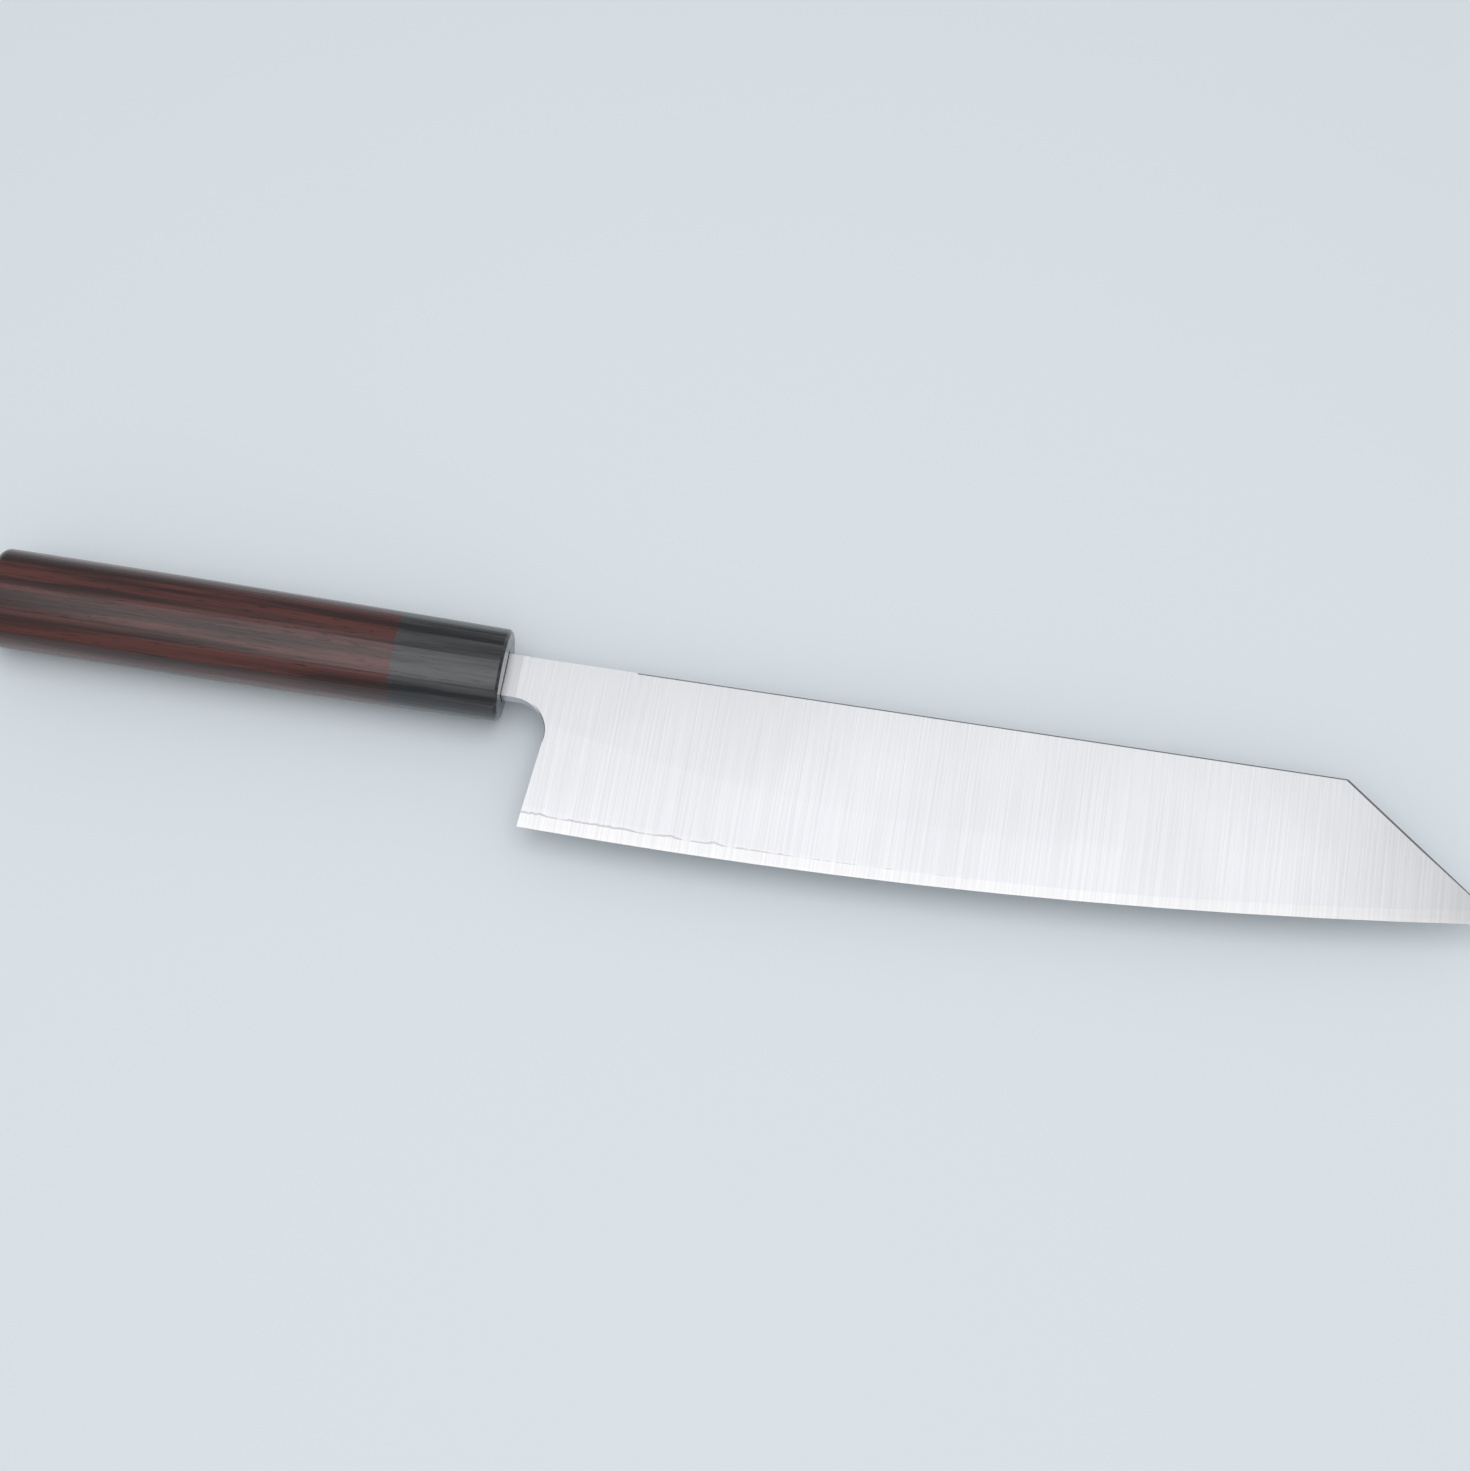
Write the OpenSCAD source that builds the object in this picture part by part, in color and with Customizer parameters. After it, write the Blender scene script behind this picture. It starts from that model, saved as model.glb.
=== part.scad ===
// Kitchen knife with a slanted point, a laminated blade and an oval wooden handle.
// The knife lies on its side: +X runs to the tip, +Y to the spine, +Z out of the front of the blade.
// The origin is the centre of the ferrule's front face.

/* [Blade outline] */
// Length of the edge, from the heel corner to the tip
edge_len = 270; // [210:1:300]
// Distance from the ferrule to the heel corner
heel_x = 11.7; // [9:0.1:20]
// Height of the blade at the heel, from the spine to the edge
heel_h = 49.7; // [42:0.1:58]
// Radius of the curve that the edge follows
edge_r = 1690; // [1200:10:2600]
// Distance from the ferrule to the lowest point of the edge
low_x = 43.6; // [25:0.1:80]
// Length along the knife of the slanted point
point_run = 45; // [30:0.5:60]
// Angle at which the spine rises from the handle's axis
spine_rise = 0.42; // [0:0.01:1]
// Radius of the notch between the neck and the heel
choil_r = 9.8; // [6:0.1:12]
// Angle at which the heel leans back
heel_lean = 5.3; // [0:0.1:8]

/* [Blade thickness] */
// Thickness of the spine at the heel
spine_t = 3.3; // [2.8:0.1:4]
// Thickness of the spine at the corner of the point
point_t = 2; // [1.6:0.1:2.6]
// Angle at which each flat leans in from the spine
flat_lean = 1.1; // [0.8:0.05:1.3]
// Angle of each side of the wide bevel
road_lean = 1.6; // [1.4:0.05:1.8]
// Angle of each side of the grind behind the edge
grind_lean = 3.15; // [2.8:0.05:3.6]
// Angle of each side of the sharpened edge
edge_lean = 14; // [10:0.5:18]
// Depth below the edge at which the wide bevel's sides would meet, at the heel
road_drop = 17.5; // [15:0.5:20]
// The same depth at the corner of the point
road_drop_point = 5.5; // [4.5:0.1:7]
// Depth below the edge at which the grind's sides would meet, at the heel
grind_drop = 5; // [4:0.1:6]
// The same depth at the corner of the point
grind_drop_point = 1; // [0.6:0.1:1.6]
// Width of the eased edge along the spine
spine_ease = 0.45; // [0.2:0.05:0.7]
// Width of the eased edge along the slanted point
point_ease = 0.75; // [0.4:0.05:1]
// Angle of the eased edges
ease_lean = 25; // [15:1:35]
// Width of the eased edge round the notch
choil_ease = 0.4; // [0.2:0.05:0.6]
// Thickness of the hard steel core at the heel
core_t = 0.96; // [0.8:0.02:1.1]
// Thickness of the hard steel core at the corner of the point
core_point_t = 0.36; // [0.3:0.02:0.44]

/* [Neck and tang] */
// Height of the neck at the ferrule
neck_h = 12.8; // [11:0.1:15]
// Distance from the handle's axis up to the spine at the ferrule
neck_top = 6.1; // [5:0.1:7.5]
// Thickness of the neck
neck_t = 3.9; // [3.6:0.1:4.6]
// Distance from the ferrule to where the neck starts to thin
neck_len = 4.2; // [2:0.1:5]
// Angle at which the neck thins to the flats
ramp_lean = 6.5; // [5:0.5:9]
// Length of the tang inside the handle
tang_len = 104; // [80:1:118]
// Length of the tang's wide root
root_len = 8; // [5:0.5:10]
// Length of the shoulders between the root and the narrow tang
shoulder_len = 4; // [2:0.5:6]
// Height of the narrow tang at its root
tang_h = 9; // [8:0.1:9.6]
// Height of the tang at its end
tang_end_h = 5; // [4:0.1:6]
// Thickness of the tang at its end
tang_end_t = 2.2; // [1.8:0.1:2.8]

/* [Handle] */
// Length of the handle with its ferrule
handle_len = 148.5; // [130:0.5:165]
// Length of the ferrule
ferrule_len = 31; // [26:0.5:38]
// Height of the handle at the butt
butt_h = 28.8; // [25:0.1:32]
// Thickness of the handle at the butt
butt_t = 21.8; // [19:0.1:25]
// Height of the handle at the ferrule's front
front_h = 26.7; // [24:0.1:30]
// Thickness of the handle at the ferrule's front
front_t = 20.8; // [18.5:0.1:24]
// Growth of the handle's half height halfway along
belly = 0.3; // [0:0.05:0.8]
// Squareness of the oval, where 2 is an ellipse
oval_power = 2.2; // [2:0.05:2.6]
// Radius of the rounded butt
butt_r = 3; // [1:0.1:5]
// Width of the chamfer round the ferrule's front
ferrule_ease = 0.8; // [0.4:0.1:1.2]

/* [Joint of ferrule and handle] */
// Gap above and below the neck in the ferrule's slot
slot_gap_h = 0.5; // [0.2:0.05:0.8]
// Gap at each side of the neck in the ferrule's slot
slot_gap_t = 1.1; // [0.4:0.05:1.5]
// Depth of the adhesive below the ferrule's front
adhesive_set = 1.2; // [0.5:0.1:3]
// Diameter of the dowel
dowel_d = 13; // [12:0.1:14]
// Length of the dowel
dowel_len = 40; // [34:0.5:48]
// Gap between the dowel and its bores
dowel_gap = 0.1; // [0.05:0.01:0.2]
// Gap between the dowel's end and the bottom of its bore
dowel_end_gap = 1; // [0.5:0.1:2]
// Gap around the tang in the dowel's slot
tang_gap = 0.6; // [0.3:0.05:0.9]
// Diameter of the bore that holds the tang behind the dowel
tang_bore_d = 9.6; // [8.5:0.1:10.5]
// Gap behind the end of the tang
tang_end_gap = 3; // [1:0.5:6]

/* [Hidden] */

// More than the knife measures, for cutting shapes
far = 400;
// Sides of the true rounds
$fn = 256;
// Points round the oval
oval_sides = 72;
// Rings along the handle and in the rounded butt
handle_rings = 8;
butt_rings = 6;

// Outline points of the blade
function spine_y(x) = neck_top + x * tan(spine_rise);
tip_x = heel_x + edge_len;
corner_x = tip_x - point_run;
heel_y = spine_y(heel_x) - heel_h;
edge_cy = heel_y + sqrt(edge_r ^ 2 - (heel_x - low_x) ^ 2);
tip_y = edge_cy - sqrt(edge_r ^ 2 - (tip_x - low_x) ^ 2);
neck_bottom = neck_top - neck_h;
neck_mid = neck_top - neck_h / 2;
choil_cy = neck_bottom - choil_r;
heel_run = (choil_cy - choil_r * sin(heel_lean) - heel_y) / cos(heel_lean);
choil_cx = heel_x - choil_r * cos(heel_lean) + heel_run * sin(heel_lean);
choil_end = [choil_cx + choil_r * cos(heel_lean), choil_cy - choil_r * sin(heel_lean)];

// Taper of the flats and of the core from the heel to the corner of the point
flat_taper = atan((spine_t - point_t) / 2 / (corner_x - heel_x));
core_taper = atan((core_t - core_point_t) / 2 / (corner_x - heel_x));
function flat_z(x, y) = spine_t / 2 - (x - heel_x) * tan(flat_taper)
    - (spine_y(heel_x) - y) * tan(flat_lean);

// Stations inside the handle, measured back from the ferrule's front
dowel_front = root_len + shoulder_len;
dowel_back = dowel_front + dowel_len;
bore_back = dowel_back + dowel_end_gap;
slot_h = neck_h + 2 * slot_gap_h;
slot_t = neck_t + 2 * slot_gap_t;
dowel_slot_h = tang_h + 2 * tang_gap;
dowel_slot_t = neck_t + 2 * tang_gap;

// Outline of the whole blade, neck and tang, seen from the front
module steel_plan() {
    difference() {
        polygon([
            [-tang_len, neck_mid - tang_end_h / 2],
            [-dowel_front, neck_mid - tang_h / 2],
            [-root_len, neck_bottom],
            [choil_cx, neck_bottom],
            choil_end,
            [heel_x, heel_y],
            [heel_x, heel_y - choil_r],
            [tip_x, heel_y - choil_r],
            [tip_x, tip_y],
            [corner_x, spine_y(corner_x)],
            [0, neck_top],
            [-root_len, neck_top],
            [-dowel_front, neck_mid + tang_h / 2],
            [-tang_len, neck_mid + tang_end_h / 2]
        ]);
        translate([choil_cx, choil_cy])
            circle(choil_r);
    }
}

// Everything below a plane that falls by lean towards the edge and by taper towards the tip
module under_plane(at, lean, taper) {
    translate(at)
        rotate([lean, taper, 0])
            translate([-far, -far, -far])
                cube([2 * far, 2 * far, far]);
}

// Both sides of the blade between two mirrored planes
module between_planes(half, lean, taper) {
    at = [heel_x, spine_y(heel_x), half];
    intersection() {
        under_plane(at, lean, taper);
        mirror([0, 0, 1])
            under_plane(at, lean, taper);
    }
}

// A wedge whose two sides meet on an arc, which lies below the edge by one depth at the heel and
// by another at the corner of the point. Its centre is moved from the edge's to give those depths.
module ring_wedge(lean, drop_heel, drop_point) {
    sin_heel = (heel_x - low_x) / edge_r;
    sin_point = (corner_x - low_x) / edge_r;
    cos_heel = sqrt(1 - sin_heel ^ 2);
    cos_point = sqrt(1 - sin_point ^ 2);
    shift_x = (drop_point * cos_heel - drop_heel * cos_point)
        / (sin_point * cos_heel - sin_heel * cos_point);
    shift_y = (drop_heel - shift_x * sin_heel) / cos_heel;
    depth = 2 * heel_h;
    translate([low_x + shift_x, edge_cy - shift_y, 0])
        rotate(-96)
            rotate_extrude(angle = 24)
                polygon([
                    [edge_r - depth, depth * tan(lean)],
                    [edge_r - depth, -depth * tan(lean)],
                    [edge_r, 0]
                ]);
}

// Cuts one eased edge along a straight side of the blade. The side starts at from, runs at the
// angle turn, and falls away by fall degrees in thickness.
module ease_cut(from, turn, fall, width) {
    deep = width * sin(ease_lean);
    translate([from[0], from[1], flat_z(from[0], from[1])])
        rotate([0, 0, turn])
            rotate([0, fall, 0])
                rotate([-ease_lean, 0, 0])
                    translate([-far / 2, -choil_r, -deep])
                        cube([far, 2 * choil_r, choil_r]);
}

// Cuts the eased edge round the notch
module choil_cut() {
    top = flat_z(choil_cx, neck_bottom);
    translate([choil_cx, choil_cy, top - choil_ease])
        cylinder(h = 2 * choil_ease, r1 = choil_r, r2 = choil_r + 2 * choil_ease);
}

// The slanted point's direction, and how its surface falls along it
point_turn = atan2(tip_y - spine_y(corner_x), point_run);
point_fall = atan(cos(point_turn) * tan(flat_taper) - sin(point_turn) * tan(flat_lean));

// Everything that the eased edges take off one side of the blade
module ease_cuts() {
    ease_cut([corner_x, spine_y(corner_x)], spine_rise, flat_taper, spine_ease);
    ease_cut([corner_x, spine_y(corner_x)], point_turn, point_fall, point_ease);
    choil_cut();
}

// The ground blade in front of the neck
module ground_blade() {
    difference() {
        intersection() {
            linear_extrude(2 * neck_t, center = true)
                steel_plan();
            between_planes(spine_t / 2, flat_lean, flat_taper);
            ring_wedge(road_lean, road_drop, road_drop_point);
            ring_wedge(grind_lean, grind_drop, grind_drop_point);
            ring_wedge(edge_lean, 0, 0);
            translate([0, -far / 2, -far / 2])
                cube(far);
        }
        ease_cuts();
        mirror([0, 0, 1])
            ease_cuts();
    }
}

// The neck and tang, seen from the spine: thick at the ferrule, thinner to both ends
module neck_and_tang() {
    ramp_run = neck_t / 4 / tan(ramp_lean);
    ramp_end = neck_len + ramp_run;
    intersection() {
        linear_extrude(2 * neck_t, center = true)
            steel_plan();
        translate([0, choil_cy, 0])
            rotate([90, 0, 180])
                mirror([1, 0, 0])
                    linear_extrude(far)
                        polygon([
                            [-tang_len, tang_end_t / 2],
                            [0, neck_t / 2],
                            [neck_len, neck_t / 2],
                            [ramp_end, neck_t / 4],
                            [ramp_end, -neck_t / 4],
                            [neck_len, -neck_t / 2],
                            [0, -neck_t / 2],
                            [-tang_len, -tang_end_t / 2]
                        ]);
    }
}

// The whole steel piece before it is split into its layers
module steel_form() {
    ground_blade();
    neck_and_tang();
}

// The slab that the hard core fills
module core_slab() {
    between_planes(core_t / 2, 0, core_taper);
}

module core_steel() {
    color("gainsboro")
        intersection() {
            steel_form();
            core_slab();
        }
}

// One layer of softer steel, on the front of the core
module cladding() {
    difference() {
        intersection() {
            steel_form();
            translate([-far, -far, 0])
                cube([2 * far, 2 * far, far]);
        }
        core_slab();
    }
}

module cladding_front() {
    color("silver")
        cladding();
}

module cladding_back() {
    color("silver")
        mirror([0, 0, 1])
            cladding();
}

// Half height and half thickness of the handle at a distance behind the ferrule's front
function share(d) = d / handle_len;
function swell(d) = belly * 4 * share(d) * (1 - share(d));
function half_h(d) = front_h / 2 + (butt_h - front_h) / 2 * share(d) + swell(d);
function half_t(d) = front_t / 2 + (butt_t - front_t) / 2 * share(d) + swell(d) / 2;

// One ring of the oval at that distance, drawn in by inset
function curve(v) = sign(v) * abs(v) ^ (2 / oval_power);
function ring(d, inset) = [
    for (i = [0:oval_sides - 1])
        let (a = 360 * i / oval_sides)
        [-d, (half_h(d) - inset) * curve(cos(a)), (half_t(d) - inset) * curve(sin(a))]
];

// A closed skin over rings that run from front to back
module loft(rings) {
    count = len(rings);
    last = (count - 1) * oval_sides;
    points = [for (r = rings) each r];
    front = [[for (i = [0:oval_sides - 1]) i]];
    back = [[for (i = [oval_sides - 1:-1:0]) last + i]];
    sides = [
        for (k = [0:count - 2], i = [0:oval_sides - 1])
            let (j = (i + 1) % oval_sides, a = k * oval_sides, b = a + oval_sides)
            each [[a + i, b + i, b + j], [a + i, b + j, a + j]]
    ];
    polyhedron(points, concat(front, sides, back));
}

// The handle's outer form, with the chamfered front drawn past its end and cut off flat
module handle_form() {
    front = [
        ring(-ferrule_ease, 2 * ferrule_ease),
        ring(ferrule_ease, 0)
    ];
    middle = [
        for (k = [1:handle_rings])
            ring(ferrule_ease + (handle_len - butt_r - ferrule_ease) * k / handle_rings, 0)
    ];
    butt = [
        for (k = [1:butt_rings])
            let (a = 90 * k / butt_rings)
            ring(handle_len - butt_r * (1 - sin(a)), butt_r * (1 - cos(a)))
    ];
    loft(concat(front, middle, butt));
}

// The stretch of the handle between two distances behind the ferrule's front
module handle_stretch(from, to) {
    intersection() {
        handle_form();
        translate([-to, -far / 2, -far / 2])
            cube([to - from, far, far]);
    }
}

// A round bore or rod along the handle between two distances
module round_along(from, to, d) {
    translate([-to, neck_mid, 0])
        rotate([0, 90, 0])
            cylinder(h = to - from, d = d);
}

// A square slot or bar along the handle between two distances
module square_along(from, to, h, t) {
    translate([-to, neck_mid - h / 2, -t / 2])
        cube([to - from, h, t]);
}

module ferrule() {
    color([0.11, 0.11, 0.13])
        difference() {
            handle_stretch(0, ferrule_len);
            square_along(-1, dowel_front + 1, slot_h, slot_t);
            round_along(dowel_front, ferrule_len + 1, dowel_d + 2 * dowel_gap);
        }
}

module handle_body() {
    color([0.3, 0.15, 0.13])
        difference() {
            handle_stretch(ferrule_len, handle_len);
            round_along(ferrule_len - 1, bore_back, dowel_d + 2 * dowel_gap);
            round_along(bore_back - 1, tang_len + tang_end_gap, tang_bore_d);
        }
}

module dowel() {
    color("burlywood")
        difference() {
            round_along(dowel_front, dowel_back, dowel_d);
            square_along(dowel_front - 1, dowel_back + 1, dowel_slot_h, dowel_slot_t);
        }
}

// Fills the slot, the dowel and the tang's bore round the steel
module tang_adhesive() {
    color([0.25, 0.2, 0.16])
        difference() {
            union() {
                square_along(adhesive_set, dowel_front, slot_h, slot_t);
                square_along(dowel_front - 1, dowel_back + 1, dowel_slot_h, dowel_slot_t);
                round_along(dowel_back, bore_back, dowel_d + 2 * dowel_gap);
                round_along(bore_back - 1, tang_len + tang_end_gap, tang_bore_d);
            }
            neck_and_tang();
        }
}

core_steel();
cladding_front();
cladding_back();
ferrule();
handle_body();
dowel();
tang_adhesive();
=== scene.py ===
import math

import bpy
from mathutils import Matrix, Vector


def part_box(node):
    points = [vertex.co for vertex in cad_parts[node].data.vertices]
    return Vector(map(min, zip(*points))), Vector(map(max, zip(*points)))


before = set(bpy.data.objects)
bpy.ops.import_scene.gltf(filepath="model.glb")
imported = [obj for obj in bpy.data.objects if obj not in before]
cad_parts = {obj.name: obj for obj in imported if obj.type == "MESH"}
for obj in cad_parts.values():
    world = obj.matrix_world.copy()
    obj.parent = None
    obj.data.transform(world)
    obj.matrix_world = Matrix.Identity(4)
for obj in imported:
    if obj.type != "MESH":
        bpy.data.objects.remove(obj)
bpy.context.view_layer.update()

bl_info = {
    "name": "Kiritsuke Knife",
    "version": (1, 0, 0),
    "blender": (4, 5, 0),
    "location": "View3D > Sidebar > Knife",
    "description": "Finishes a kiritsuke knife: ground laminated blade, oval handle and its stage",
    "category": "Object",
}

# The arc of the blade's edge in the solid, in metres.
EDGE_ARC_CENTRE = (0.0436, 1.64619)
EDGE_ARC_RADIUS = 1.690

# The Mix node's sockets for colours, by number, because their names repeat.
MIX_AMOUNT = 0
MIX_COLOURS = (6, 7)
MIX_RESULT = 2

# A noise's middle value, out of 0 to 1, and the part about it that a ramp spreads out.
NOISE_CENTRE = 0.5
NOISE_MIDDLE = (0.3, 0.7)

# Steel: repeats per metre along the brush marks and of the broad patches, how dark the troughs
# between the marks are, the least and most roughness, and the marks' strength and depth in metres.
MARKS_LENGTHWISE = 14.0
STEEL_PATCHES = 22.0
STEEL_TROUGH_SHADE = 0.90
STEEL_ROUGHNESS = (0.235, 0.265)
STEEL_MARK_STRENGTH = 0.10
STEEL_MARK_DEPTH = 0.00003

# The lamination line: waves per metre and their stretch along X, Y and Z, its swing and half width
# in metres, its colour, the places along X between which it comes down to a share of its height,
# and those between which it fades from its first strength to its second.
LINE_WAVES = 160.0
LINE_WAVE_STRETCH = (1.0, 0.15, 0.15)
LINE_SWING = 0.0032
LINE_HALF_WIDTH = 0.0005
LINE_COLOUR = (0.30, 0.27, 0.24, 1.0)
LINE_LOWERS_ALONG = (0.01, 0.20)
LINE_LOW_SHARE = 0.5
LINE_FADES_ALONG = (0.02, 0.22)
LINE_STRENGTHS = (0.55, 0.12)

# Wood: repeats per metre along X, Y and Z of the streaks and of the pore dashes, the noise values
# over which each comes in, the pores' colour, strength and depth in metres, how dark they are on
# each piece, the roughness from dark to light streaks, and the polish.
WOOD_STREAKS = (14.0, 420.0, 420.0)
WOOD_DASHES = (190.0, 2600.0, 2600.0)
STREAK_LIMITS = (0.35, 0.65)
PORE_LIMITS = (0.60, 0.70)
PORE_COLOUR = (0.008, 0.005, 0.005, 1.0)
PORE_STRENGTH = 0.35
PORE_DEPTH = 0.00006
HANDLE_PORE_SHARE = 0.75
FERRULE_PORE_SHARE = 0.45
WOOD_ROUGHNESS = (0.34, 0.24)
POLISH_WEIGHT = 0.6
POLISH_ROUGHNESS = 0.16

# The hidden pieces, with the repeats per metre of their mottling and how dark its spots are.
HIDDEN_MOTTLE = (60.0, 900.0, 900.0)
HIDDEN_SHADE = 0.75
DOWEL_COLOUR = (0.60, 0.45, 0.28)
DOWEL_ROUGHNESS = 0.7
ADHESIVE_COLOUR = (0.08, 0.05, 0.035)
ADHESIVE_ROUGHNESS = 0.45

# The camera at the photo's viewing angle: places in metres, lens and sensor in millimetres.
CAMERA_PLACE = (0.10975, -0.26390, 0.67838)
CAMERA_TARGET = (0.06670, -0.00708, 0.0)
CAMERA_LENS = 63.67
CAMERA_SENSOR = 36.0
CAMERA_NEAR = 0.01

# The softbox: its sides as shares of its size, where it hangs, its turn and its watts.
SOFTBOX_SHARES = (1.05, 1.135)
SOFTBOX_PLACE = (0.075, -0.12)
SOFTBOX_TURN = math.radians(9.5)
SOFTBOX_WATTS = 4.45

# The surroundings, with one strength as light and a lower one in reflections.
SKY_COLOUR = (0.97, 0.99, 1.0, 1.0)
SKY_LIGHT = 0.76
SKY_REFLECTED = 0.22
FLOOR_ROUGHNESS = 0.6


class KnifeSizes(bpy.types.PropertyGroup):
    """Sizes of the finish and of the stage."""

    scratch_pitch: bpy.props.FloatProperty(
        name="Scratch Pitch",
        description="Typical distance between brush marks along the blade",
        default=0.0006,
        unit="LENGTH",
    )
    line_height: bpy.props.FloatProperty(
        name="Lamination Line",
        description="Height of the wavy lamination line above the edge at the heel",
        default=0.0042,
        unit="LENGTH",
    )
    softbox_size: bpy.props.FloatProperty(
        name="Softbox Size",
        description="Size of the overhead softbox, whose sides are shares of it",
        default=1.0,
        unit="LENGTH",
    )
    softbox_height: bpy.props.FloatProperty(
        name="Softbox Height",
        description="Height of the softbox above the knife",
        default=1.0,
        unit="LENGTH",
    )
    floor_reach: bpy.props.FloatProperty(
        name="Floor Reach",
        description="Half the side of the square floor",
        default=3.0,
        unit="LENGTH",
    )


class KnifeColours(bpy.types.PropertyGroup):
    """Main colours, as linear light."""

    cladding: bpy.props.FloatVectorProperty(
        name="Cladding",
        description="Soft steel on the blade's faces",
        default=(0.72, 0.73, 0.76),
        size=3,
        subtype="COLOR",
    )
    core: bpy.props.FloatVectorProperty(
        name="Core",
        description="Hard steel along the edge",
        default=(0.76, 0.76, 0.77),
        size=3,
        subtype="COLOR",
    )
    handle_light: bpy.props.FloatVectorProperty(
        name="Handle Light",
        description="Lighter streaks of the handle's wood",
        default=(0.095, 0.030, 0.026),
        size=3,
        subtype="COLOR",
    )
    handle_dark: bpy.props.FloatVectorProperty(
        name="Handle Dark",
        description="Darker streaks of the handle's wood",
        default=(0.030, 0.011, 0.010),
        size=3,
        subtype="COLOR",
    )
    ferrule_light: bpy.props.FloatVectorProperty(
        name="Ferrule Light",
        description="Lighter streaks of the ferrule's wood",
        default=(0.055, 0.058, 0.062),
        size=3,
        subtype="COLOR",
    )
    ferrule_dark: bpy.props.FloatVectorProperty(
        name="Ferrule Dark",
        description="Darker streaks of the ferrule's wood",
        default=(0.013, 0.013, 0.015),
        size=3,
        subtype="COLOR",
    )
    floor: bpy.props.FloatVectorProperty(
        name="Floor",
        description="Pale floor",
        default=(0.66, 0.71, 0.75),
        size=3,
        subtype="COLOR",
    )


def new_material(name):
    """Return a fresh material with its node tree and its Principled shader."""
    material = bpy.data.materials.new(name)
    material.use_nodes = True
    shader = material.node_tree.nodes["Principled BSDF"]
    return material, material.node_tree, shader


def dress(node, material):
    """Give one piece its only material."""
    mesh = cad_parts[node].data
    mesh.materials.clear()
    mesh.materials.append(material)


def add_math(tree, operation, first, second=None):
    """Add a math node fed by sockets or by plain numbers."""
    node = tree.nodes.new("ShaderNodeMath")
    node.operation = operation
    for index, value in enumerate((first, second)):
        if value is None:
            continue
        if isinstance(value, (int, float)):
            node.inputs[index].default_value = value
        else:
            tree.links.new(value, node.inputs[index])
    return node.outputs[0]


def add_ramp(tree, value, low, high, start=0.0, end=1.0):
    """Map a value smoothly from the range low to high on to start to end."""
    node = tree.nodes.new("ShaderNodeMapRange")
    node.interpolation_type = "SMOOTHSTEP"
    node.inputs["From Min"].default_value = low
    node.inputs["From Max"].default_value = high
    node.inputs["To Min"].default_value = start
    node.inputs["To Max"].default_value = end
    tree.links.new(value, node.inputs["Value"])
    return node.outputs["Result"]


def add_mix(tree, amount, first, second):
    """Mix two colours by a value."""
    node = tree.nodes.new("ShaderNodeMix")
    node.data_type = "RGBA"
    tree.links.new(amount, node.inputs[MIX_AMOUNT])
    for index, value in zip(MIX_COLOURS, (first, second)):
        if isinstance(value, tuple):
            node.inputs[index].default_value = value
        else:
            tree.links.new(value, node.inputs[index])
    return node.outputs[MIX_RESULT]


def add_noise(tree, vector, scale=1.0, detail=3.0, rough=0.5):
    """Add a noise texture read at a vector."""
    node = tree.nodes.new("ShaderNodeTexNoise")
    node.inputs["Scale"].default_value = scale
    node.inputs["Detail"].default_value = detail
    node.inputs["Roughness"].default_value = rough
    tree.links.new(vector, node.inputs["Vector"])
    return node.outputs["Fac"]


def add_stretch(tree, vector, stretch):
    """Scale a vector by three factors."""
    node = tree.nodes.new("ShaderNodeVectorMath")
    node.operation = "MULTIPLY"
    tree.links.new(vector, node.inputs[0])
    node.inputs[1].default_value = stretch
    return node.outputs["Vector"]


def brush_group(sizes):
    """Brush marks across the blade, as noise squeezed along X, and a mask of broad patches."""
    group = bpy.data.node_groups.new("Cross Brushing", "ShaderNodeTree")
    group.interface.new_socket("Marks", in_out="OUTPUT", socket_type="NodeSocketFloat")
    group.interface.new_socket("Patches", in_out="OUTPUT", socket_type="NodeSocketFloat")
    place = group.nodes.new("ShaderNodeTexCoord").outputs["Object"]
    squeeze = (1.0 / sizes.scratch_pitch, MARKS_LENGTHWISE, MARKS_LENGTHWISE)
    fine = add_noise(group, add_stretch(group, place, squeeze), detail=4.0, rough=0.7)
    patches = add_noise(group, place, STEEL_PATCHES, detail=2.0)
    exit_node = group.nodes.new("NodeGroupOutput")
    group.links.new(fine, exit_node.inputs["Marks"])
    group.links.new(patches, exit_node.inputs["Patches"])
    return group


def edge_height_group():
    """Height above the edge, and the place along X.

    The height is Y less the arc's lowest Y, less the square of the X distance from the arc's
    centre over twice its radius, which is close to the arc as long as that distance is small.
    """
    group = bpy.data.node_groups.new("Height Above Edge", "ShaderNodeTree")
    group.interface.new_socket("Height", in_out="OUTPUT", socket_type="NodeSocketFloat")
    group.interface.new_socket("Along", in_out="OUTPUT", socket_type="NodeSocketFloat")
    place = group.nodes.new("ShaderNodeTexCoord").outputs["Object"]
    parts = group.nodes.new("ShaderNodeSeparateXYZ")
    group.links.new(place, parts.inputs[0])
    across = add_math(group, "SUBTRACT", parts.outputs["X"], EDGE_ARC_CENTRE[0])
    squared = add_math(group, "MULTIPLY", across, across)
    rise = add_math(group, "DIVIDE", squared, 2 * EDGE_ARC_RADIUS)
    arc = add_math(group, "ADD", rise, EDGE_ARC_CENTRE[1] - EDGE_ARC_RADIUS)
    height = add_math(group, "SUBTRACT", parts.outputs["Y"], arc)
    exit_node = group.nodes.new("NodeGroupOutput")
    group.links.new(height, exit_node.inputs["Height"])
    group.links.new(parts.outputs["X"], exit_node.inputs["Along"])
    return group


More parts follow.
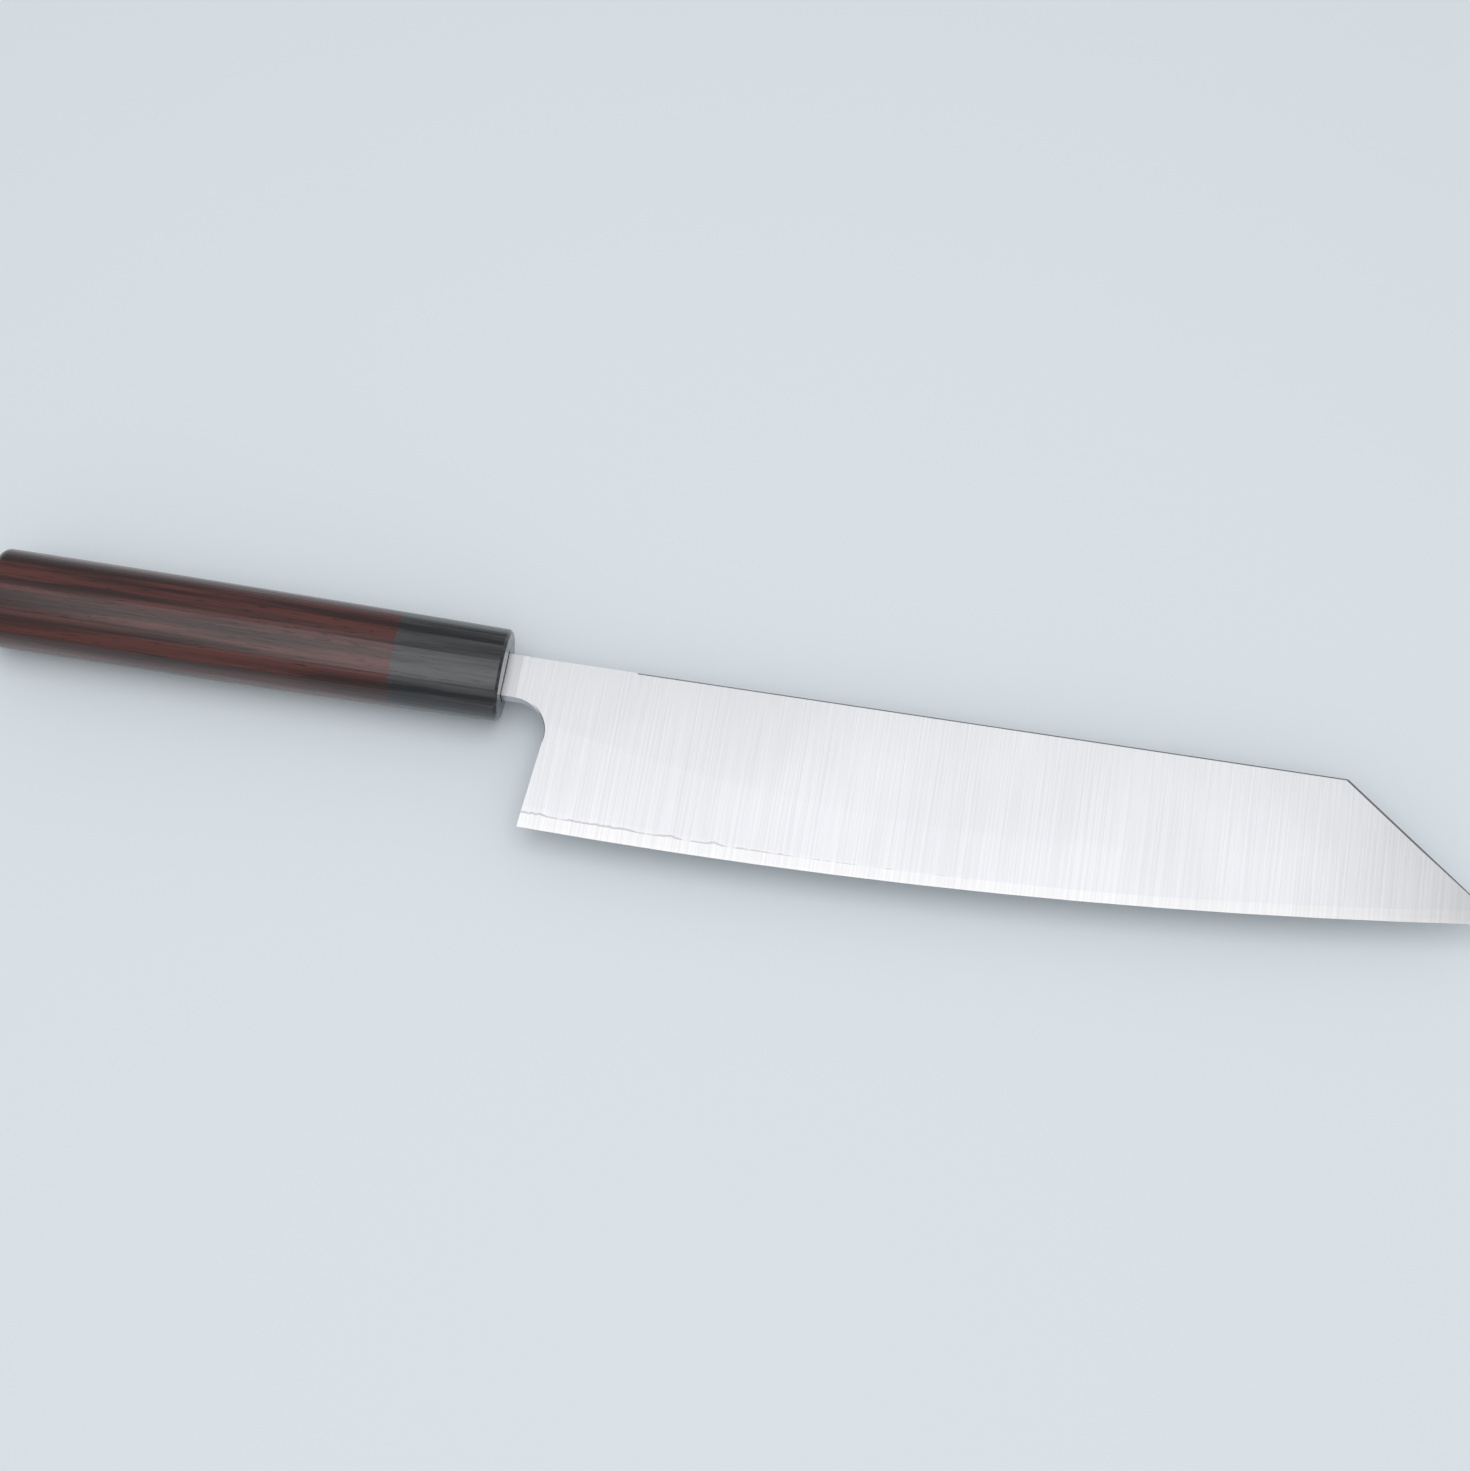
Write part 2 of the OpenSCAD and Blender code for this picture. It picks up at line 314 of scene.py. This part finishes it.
def grain_group():
    """Wood grain along the handle: streaks and short dark pore lines."""
    group = bpy.data.node_groups.new("Long Grain", "ShaderNodeTree")
    group.interface.new_socket("Streaks", in_out="OUTPUT", socket_type="NodeSocketFloat")
    group.interface.new_socket("Pores", in_out="OUTPUT", socket_type="NodeSocketFloat")
    place = group.nodes.new("ShaderNodeTexCoord").outputs["Object"]
    streaks = add_noise(group, add_stretch(group, place, WOOD_STREAKS), detail=4.0, rough=0.6)
    dashes = add_noise(group, add_stretch(group, place, WOOD_DASHES), detail=2.0)
    pores = add_ramp(group, dashes, *PORE_LIMITS)
    exit_node = group.nodes.new("NodeGroupOutput")
    group.links.new(streaks, exit_node.inputs["Streaks"])
    group.links.new(pores, exit_node.inputs["Pores"])
    return group


def use_group(tree, group):
    """Place a node group in a material."""
    node = tree.nodes.new("ShaderNodeGroup")
    node.node_tree = group
    return node.outputs


def opaque(colour):
    """A colour with full alpha."""
    return (colour[0], colour[1], colour[2], 1.0)


def add_bump(tree, shader, height, strength, depth, inward=False):
    """Raise the shader's surface by a height, or sink it."""
    bump = tree.nodes.new("ShaderNodeBump")
    bump.invert = inward
    bump.inputs["Strength"].default_value = strength
    bump.inputs["Distance"].default_value = depth
    tree.links.new(height, bump.inputs["Height"])
    tree.links.new(bump.outputs["Normal"], shader.inputs["Normal"])


def lamination_mask(tree, height, line_height):
    """Mask that is strongest where the height above the edge meets a wavy line, lower at the tip."""
    edge = use_group(tree, height)
    place = tree.nodes.new("ShaderNodeTexCoord").outputs["Object"]
    wave = add_noise(tree, add_stretch(tree, place, LINE_WAVE_STRETCH), LINE_WAVES, rough=0.6)
    evened = add_math(tree, "SUBTRACT", wave, NOISE_CENTRE)
    swing = add_math(tree, "MULTIPLY", evened, LINE_SWING)
    low_height = line_height * LINE_LOW_SHARE
    line = add_ramp(tree, edge["Along"], *LINE_LOWERS_ALONG, line_height, low_height)
    wavy = add_math(tree, "ADD", line, swing)
    gap = add_math(tree, "ABSOLUTE", add_math(tree, "SUBTRACT", edge["Height"], wavy))
    close = add_ramp(tree, gap, 0.0, LINE_HALF_WIDTH, 1.0, 0.0)
    strength = add_ramp(tree, edge["Along"], *LINE_FADES_ALONG, *LINE_STRENGTHS)
    return add_math(tree, "MULTIPLY", close, strength)


def steel_material(name, colour, brush):
    """Steel with brush marks across the blade; returns it with its shader and its colour."""
    material, tree, shader = new_material(name)
    marks = use_group(tree, brush)
    shader.inputs["Metallic"].default_value = 1.0
    tone = add_ramp(tree, marks["Marks"], *NOISE_MIDDLE)
    trough = tuple(channel * STEEL_TROUGH_SHADE for channel in colour)
    brushed = add_mix(tree, tone, opaque(trough), opaque(colour))
    rough = add_ramp(tree, marks["Patches"], *NOISE_MIDDLE, *STEEL_ROUGHNESS)
    tree.links.new(rough, shader.inputs["Roughness"])
    add_bump(tree, shader, marks["Marks"], STEEL_MARK_STRENGTH, STEEL_MARK_DEPTH)
    return material, shader, brushed


def core_material(colour, brush):
    """The hard core: brushed steel alone."""
    material, shader, brushed = steel_material("Core Steel", colour, brush)
    material.node_tree.links.new(brushed, shader.inputs["Base Color"])
    return material


def cladding_material(colour, brush, height, line_height):
    """The soft cladding: brushed steel with the wavy lamination line above the edge."""
    material, shader, brushed = steel_material("Cladding", colour, brush)
    tree = material.node_tree
    mask = lamination_mask(tree, height, line_height)
    lined = add_mix(tree, mask, brushed, LINE_COLOUR)
    tree.links.new(lined, shader.inputs["Base Color"])
    return material


def wood_material(name, light, dark, grain, pore_share):
    """Polished wood with streaks and pores along it, under a clear coat."""
    material, tree, shader = new_material(name)
    grains = use_group(tree, grain)
    spread = add_ramp(tree, grains["Streaks"], *STREAK_LIMITS)
    wood = add_mix(tree, spread, opaque(dark), opaque(light))
    pores = add_math(tree, "MULTIPLY", grains["Pores"], pore_share)
    wood = add_mix(tree, pores, wood, PORE_COLOUR)
    tree.links.new(wood, shader.inputs["Base Color"])
    rough = add_ramp(tree, grains["Streaks"], *NOISE_MIDDLE, *WOOD_ROUGHNESS)
    tree.links.new(rough, shader.inputs["Roughness"])
    shader.inputs["Coat Weight"].default_value = POLISH_WEIGHT
    shader.inputs["Coat Roughness"].default_value = POLISH_ROUGHNESS
    add_bump(tree, shader, grains["Pores"], PORE_STRENGTH, PORE_DEPTH, inward=True)
    return material


def plain_material(name, colour, roughness):
    """Plain matter with slight mottling, for the hidden pieces."""
    material, tree, shader = new_material(name)
    place = tree.nodes.new("ShaderNodeTexCoord").outputs["Object"]
    spots = add_noise(tree, add_stretch(tree, place, HIDDEN_MOTTLE))
    dark = tuple(channel * HIDDEN_SHADE for channel in colour)
    mottled = add_mix(tree, spots, opaque(dark), opaque(colour))
    tree.links.new(mottled, shader.inputs["Base Color"])
    shader.inputs["Roughness"].default_value = roughness
    return material


def show(scene, name, data):
    """Put data in the scene as an object."""
    shown = bpy.data.objects.new(name, data)
    scene.collection.objects.link(shown)
    return shown


def lay_floor(scene):
    """Plain pale square that the handle rests on."""
    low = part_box("handle_body")[0].z
    reach = scene.knife_sizes.floor_reach
    mesh = bpy.data.meshes.new("floor")
    corners = [(-reach, -reach, low), (reach, -reach, low), (reach, reach, low), (-reach, reach, low)]
    mesh.from_pydata(corners, [], [(0, 1, 2, 3)])
    material, _, shader = new_material("Floor")
    shader.inputs["Base Color"].default_value = opaque(scene.knife_colours.floor)
    shader.inputs["Roughness"].default_value = FLOOR_ROUGHNESS
    mesh.materials.append(material)
    return show(scene, "floor", mesh)


def hang_softbox(scene):
    """Large soft light above the knife, facing down and turned with the camera."""
    sizes = scene.knife_sizes
    lamp = bpy.data.lights.new("softbox", "AREA")
    lamp.shape = "RECTANGLE"
    lamp.size = sizes.softbox_size * SOFTBOX_SHARES[0]
    lamp.size_y = sizes.softbox_size * SOFTBOX_SHARES[1]
    lamp.energy = SOFTBOX_WATTS
    softbox = show(scene, "softbox", lamp)
    softbox.location = (*SOFTBOX_PLACE, sizes.softbox_height)
    softbox.rotation_euler = (0.0, 0.0, SOFTBOX_TURN)
    softbox.visible_camera = False
    return softbox


def surroundings():
    """Even light from all round, dimmer where it is seen in a reflection."""
    world = bpy.data.worlds.new("surroundings")
    world.use_nodes = True
    tree = world.node_tree
    sky = tree.nodes["Background"]
    sky.inputs["Color"].default_value = SKY_COLOUR
    path = tree.nodes.new("ShaderNodeLightPath")
    dimmer = tree.nodes.new("ShaderNodeMapRange")
    dimmer.inputs["To Min"].default_value = SKY_LIGHT
    dimmer.inputs["To Max"].default_value = SKY_REFLECTED
    tree.links.new(path.outputs["Is Glossy Ray"], dimmer.inputs["Value"])
    tree.links.new(dimmer.outputs["Result"], sky.inputs["Strength"])
    return world


def place_camera(scene):
    """Camera at the photo's viewing angle, made the scene's own."""
    lens = bpy.data.cameras.new("camera")
    lens.lens = CAMERA_LENS
    lens.sensor_width = CAMERA_SENSOR
    lens.clip_start = CAMERA_NEAR
    camera = show(scene, "camera", lens)
    camera.location = CAMERA_PLACE
    gaze = Vector(CAMERA_TARGET) - Vector(CAMERA_PLACE)
    camera.rotation_euler = gaze.to_track_quat("-Z", "Y").to_euler()
    scene.camera = camera
    return camera


def must_have(*nodes):
    """Raise an error if the frame lacks a piece."""
    for node in nodes:
        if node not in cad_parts:
            raise RuntimeError("missing piece: " + node)


class KNIFE_OT_blade(bpy.types.Operator):
    """Finish the blade's core and its two cladding layers"""

    bl_idname = "knife.blade"
    bl_label = "Finish Blade"

    def execute(self, context):
        must_have("core_steel", "cladding_front", "cladding_back")
        sizes = context.scene.knife_sizes
        colours = context.scene.knife_colours
        brush = brush_group(sizes)
        height = edge_height_group()
        dress("core_steel", core_material(colours.core, brush))
        cladding = cladding_material(colours.cladding, brush, height, sizes.line_height)
        for node in ("cladding_front", "cladding_back"):
            dress(node, cladding)
        return {"FINISHED"}


class KNIFE_OT_handle(bpy.types.Operator):
    """Finish the ferrule and the handle in polished wood"""

    bl_idname = "knife.handle"
    bl_label = "Finish Handle"

    def execute(self, context):
        must_have("ferrule", "handle_body")
        colours = context.scene.knife_colours
        grain = grain_group()
        handle = wood_material(
            "Handle Wood", colours.handle_light, colours.handle_dark, grain, HANDLE_PORE_SHARE
        )
        ferrule = wood_material(
            "Ferrule Wood", colours.ferrule_light, colours.ferrule_dark, grain, FERRULE_PORE_SHARE
        )
        dress("handle_body", handle)
        dress("ferrule", ferrule)
        return {"FINISHED"}


class KNIFE_OT_inside(bpy.types.Operator):
    """Finish the hidden dowel and adhesive"""

    bl_idname = "knife.inside"
    bl_label = "Finish Hidden Pieces"

    def execute(self, context):
        must_have("dowel", "tang_adhesive")
        dress("dowel", plain_material("Dowel Wood", DOWEL_COLOUR, DOWEL_ROUGHNESS))
        dress("tang_adhesive", plain_material("Adhesive", ADHESIVE_COLOUR, ADHESIVE_ROUGHNESS))
        return {"FINISHED"}


class KNIFE_OT_stage(bpy.types.Operator):
    """Set the floor, the softbox, the surroundings and the camera"""

    bl_idname = "knife.stage"
    bl_label = "Set Stage"

    def execute(self, context):
        must_have("handle_body")
        scene = context.scene
        floor = lay_floor(scene)
        softbox = hang_softbox(scene)
        camera = place_camera(scene)
        scene.world = surroundings()
        scene.view_settings.view_transform = "Standard"
        return {"FINISHED"}


class KNIFE_PT_panel(bpy.types.Panel):
    """Lists the knife's operators and settings"""

    bl_idname = "KNIFE_PT_panel"
    bl_label = "Kiritsuke Knife"
    bl_space_type = "VIEW_3D"
    bl_region_type = "UI"
    bl_category = "Knife"

    def draw(self, context):
        layout = self.layout
        layout.operator("knife.blade")
        layout.operator("knife.handle")
        layout.operator("knife.inside")
        layout.operator("knife.stage")
        for settings in (context.scene.knife_sizes, context.scene.knife_colours):
            for name in settings.__annotations__:
                layout.prop(settings, name)


CLASSES = (
    KnifeSizes,
    KnifeColours,
    KNIFE_OT_blade,
    KNIFE_OT_handle,
    KNIFE_OT_inside,
    KNIFE_OT_stage,
    KNIFE_PT_panel,
)


def register():
    """Register the classes and their scene settings."""
    for item in CLASSES:
        bpy.utils.register_class(item)
    bpy.types.Scene.knife_sizes = bpy.props.PointerProperty(type=KnifeSizes)
    bpy.types.Scene.knife_colours = bpy.props.PointerProperty(type=KnifeColours)


def unregister():
    """Remove the scene settings and the classes."""
    del bpy.types.Scene.knife_colours
    del bpy.types.Scene.knife_sizes
    for item in reversed(CLASSES):
        bpy.utils.unregister_class(item)


def main():
    """Register, finish every piece and set the stage."""
    register()
    bpy.ops.knife.blade()
    bpy.ops.knife.handle()
    bpy.ops.knife.inside()
    bpy.ops.knife.stage()


if __name__ == "__main__":
    main()
